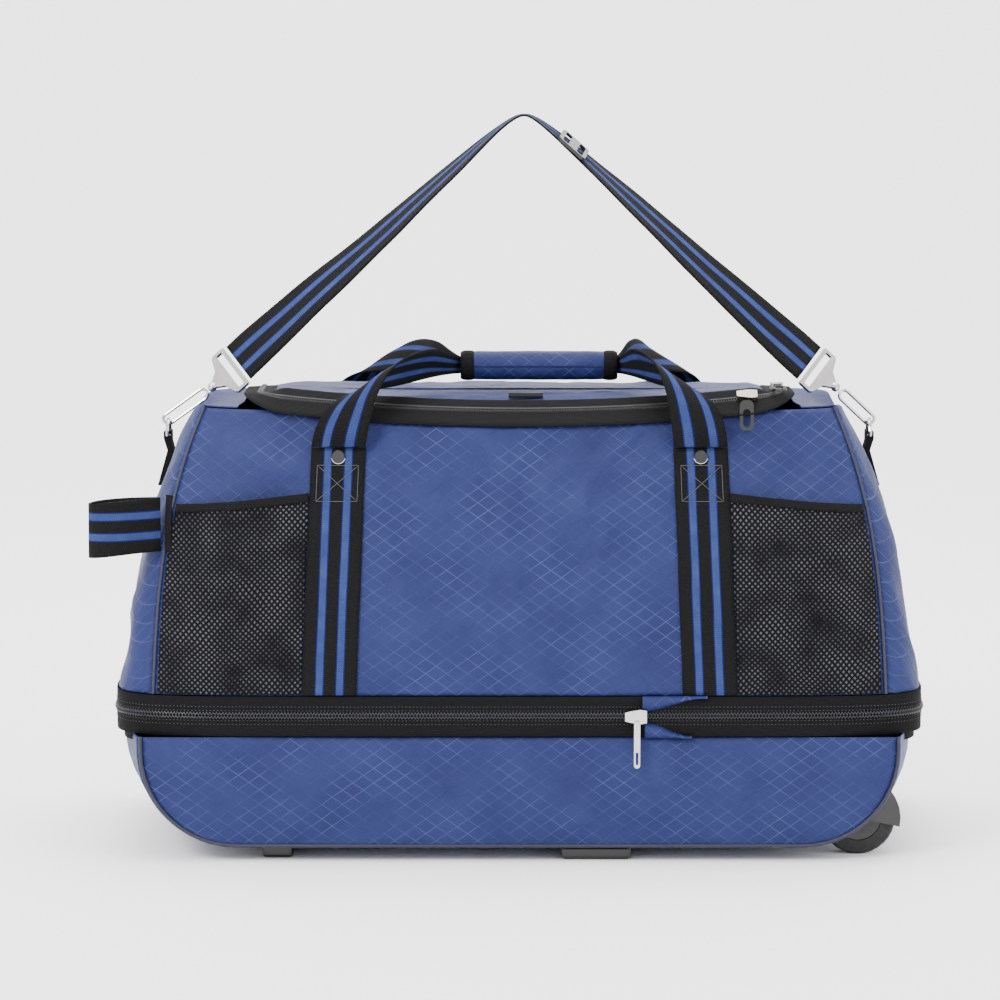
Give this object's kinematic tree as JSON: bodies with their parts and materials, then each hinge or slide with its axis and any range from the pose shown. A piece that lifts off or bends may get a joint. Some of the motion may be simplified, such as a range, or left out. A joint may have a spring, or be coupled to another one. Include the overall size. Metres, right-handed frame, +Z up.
{
  "type": "rolling duffel bag",
  "caption": "Soft blue duffel bag on wheels with a stiff lower tub, belt zip, zipped top, carry handles, shoulder strap and end pull loop.",
  "frame": {"origin": "centre of the bag's bounding box on the floor", "axes": "+X along the bag towards the wheels, +Y towards the back, +Z up"},
  "size_m": [0.7772, 0.3464, 0.686],
  "materials": {
    "blue_nylon": "matt ripstop weave",
    "black_webbing": "woven webbing with blue stripes",
    "zip_tape": "woven zip tape and coil",
    "mesh_net": "open net",
    "black_plastic": "moulded",
    "rubber": "matt",
    "grey_plastic": "moulded",
    "dark_metal": "dark plated",
    "steel": "plain",
    "board": "plain board"
  },
  "bodies": {
    "tub": {"tub_front_panel": "blue_nylon", "tub_back_panel": "blue_nylon", "tub_left_end": "blue_nylon", "tub_right_end": "blue_nylon", "tub_bottom": "blue_nylon", "base_board": "board", "belt_stringer_lower": "zip_tape", "expansion_gusset": "blue_nylon", "skid_foot_front": "black_plastic", "skid_foot_back": "black_plastic", "centre_skid": "black_plastic", "wheel_housing_front": "black_plastic", "wheel_housing_back": "black_plastic", "axle_front": "steel", "axle_back": "steel"},
    "wheel_front": {"tyre_front": "rubber", "hub_front": "grey_plastic"},
    "wheel_back": {"tyre_back": "rubber", "hub_back": "grey_plastic"},
    "belt_zip_slider": {"belt_slider": "dark_metal"},
    "belt_zip_pull": {"belt_pull": "black_plastic"},
    "upper_bag": {"front_panel": "blue_nylon", "back_panel": "blue_nylon", "left_end_panel": "blue_nylon", "right_end_panel": "blue_nylon", "top_rear_panel": "blue_nylon", "belt_stringer_upper": "zip_tape", "top_stringer_outer": "zip_tape", "mesh_pocket_left": "mesh_net", "mesh_pocket_right": "mesh_net", "front_strap_left": "black_webbing", "front_strap_right": "black_webbing", "back_strap_left": "black_webbing", "back_strap_right": "black_webbing", "rivet_front_left": "dark_metal", "rivet_front_right": "dark_metal", "rivet_back_left": "dark_metal", "rivet_back_right": "dark_metal", "d_ring_tab_left": "black_webbing", "d_ring_tab_right": "black_webbing", "pull_loop_tab": "black_webbing"},
    "lid": {"lid_panel": "blue_nylon", "lid_stringer": "zip_tape", "lid_tab": "black_webbing"},
    "front_zip_slider": {"top_slider": "dark_metal"},
    "front_zip_pull": {"top_slider_pull": "black_plastic"},
    "side_zip_slider": {"side_slider": "dark_metal"},
    "side_zip_pull": {"side_slider_pull": "black_plastic"},
    "front_carry_handle": {"front_handle": "black_webbing", "handle_wrap": "blue_nylon"},
    "back_carry_handle": {"back_handle": "black_webbing"},
    "shoulder_strap": {"shoulder_webbing": "black_webbing", "strap_frame_left": "dark_metal", "strap_frame_right": "dark_metal"},
    "strap_adjuster": {"triglide": "black_plastic"},
    "left_hook": {"hook_left": "dark_metal"},
    "right_hook": {"hook_right": "dark_metal"},
    "left_d_ring": {"d_ring_left": "dark_metal"},
    "right_d_ring": {"d_ring_right": "dark_metal"},
    "end_pull_loop": {"pull_loop": "black_webbing"}
  },
  "joints": [
    {"name": "wheel_front_spin", "type": "hinge", "parent": "tub", "child": "wheel_front", "pos_m": [0.32555, -0.1167, 0.035], "axis": [0, 1, 0], "continuous": true},
    {"name": "wheel_back_spin", "type": "hinge", "parent": "tub", "child": "wheel_back", "pos_m": [0.32555, 0.1233, 0.035], "axis": [0, 1, 0], "continuous": true},
    {"name": "expansion_rise", "type": "slide", "parent": "tub", "child": "upper_bag", "axis": [0, 0, 1], "range_m": [0, 0.06]},
    {"name": "belt_slider_travel", "type": "slide", "parent": "tub", "child": "belt_zip_slider", "axis": [-1, 0, 0], "range_m": [-0.17, 0.38]},
    {"name": "belt_pull_swing", "type": "hinge", "parent": "belt_zip_slider", "child": "belt_zip_pull", "pos_m": [0.11755, -0.1723, 0.1335], "axis": [-1, 0, 0], "range_deg": [0, 150]},
    {"name": "lid_open", "type": "hinge", "parent": "upper_bag", "child": "lid", "pos_m": [0.00955, 0.0018, 0.425], "axis": [-1, 0, 0], "range_deg": [0, 80]},
    {"name": "front_slider_travel", "type": "slide", "parent": "lid", "child": "front_zip_slider", "axis": [-1, 0, 0], "range_m": [0, 0.38]},
    {"name": "front_pull_swing", "type": "hinge", "parent": "front_zip_slider", "child": "front_zip_pull", "pos_m": [0.21955, -0.1179, 0.42477], "axis": [-1, 0, 0], "range_deg": [0, 120]},
    {"name": "side_slider_travel", "type": "slide", "parent": "lid", "child": "side_zip_slider", "axis": [0, 1, 0], "range_m": [0, 0.04]},
    {"name": "side_pull_swing", "type": "hinge", "parent": "side_zip_slider", "child": "side_zip_pull", "pos_m": [0.25155, -0.0772, 0.43408], "axis": [-1, 0, 0], "range_deg": [0, 80]},
    {"name": "front_handle_fold", "type": "hinge", "parent": "upper_bag", "child": "front_carry_handle", "pos_m": [0.00955, -0.1312, 0.3825], "axis": [1, 0, 0], "range_deg": [0, 136]},
    {"name": "back_handle_fold", "type": "hinge", "parent": "upper_bag", "child": "back_carry_handle", "pos_m": [0.00955, 0.1378, 0.3825], "axis": [-1, 0, 0], "range_deg": [0, 136]},
    {"name": "shoulder_strap_swing", "type": "hinge", "parent": "upper_bag", "child": "shoulder_strap", "pos_m": [0.01455, 0.0333, 0.42414], "axis": [-1, 0, 0], "range_deg": [-25, 38]},
    {"name": "strap_adjuster_travel", "type": "slide", "parent": "shoulder_strap", "child": "strap_adjuster", "axis": [0.7528, 0, -0.6583], "range_m": [-0.008, 0.005]},
    {"name": "left_hook_swivel", "type": "hinge", "parent": "upper_bag", "child": "left_hook", "pos_m": [-0.28545, 0.0333, 0.42414], "axis": [-0.8111, 0, -0.5848], "range_deg": [-25, 25]},
    {"name": "right_hook_swivel", "type": "hinge", "parent": "upper_bag", "child": "right_hook", "pos_m": [0.31455, 0.0333, 0.42414], "axis": [0.7276, 0, -0.686], "range_deg": [-25, 25]},
    {"name": "left_d_ring_swing", "type": "hinge", "parent": "upper_bag", "child": "left_d_ring", "pos_m": [-0.32795, 0.0333, 0.379], "axis": [0, 1, 0], "range_deg": [-5, 5]},
    {"name": "right_d_ring_swing", "type": "hinge", "parent": "upper_bag", "child": "right_d_ring", "pos_m": [0.34705, 0.0333, 0.379], "axis": [0, 1, 0], "range_deg": [-5, 5]},
    {"name": "pull_loop_swing", "type": "hinge", "parent": "upper_bag", "child": "end_pull_loop", "pos_m": [-0.32151, -0.12213, 0.31], "axis": [0, 0, 1], "range_deg": [-5, 60]}
  ],
  "couplings": [
    {"joint": "front_handle_fold", "follows": "lid_open", "ratio": 1.7},
    {"joint": "back_handle_fold", "follows": "lid_open", "ratio": 1.7}
  ]
}
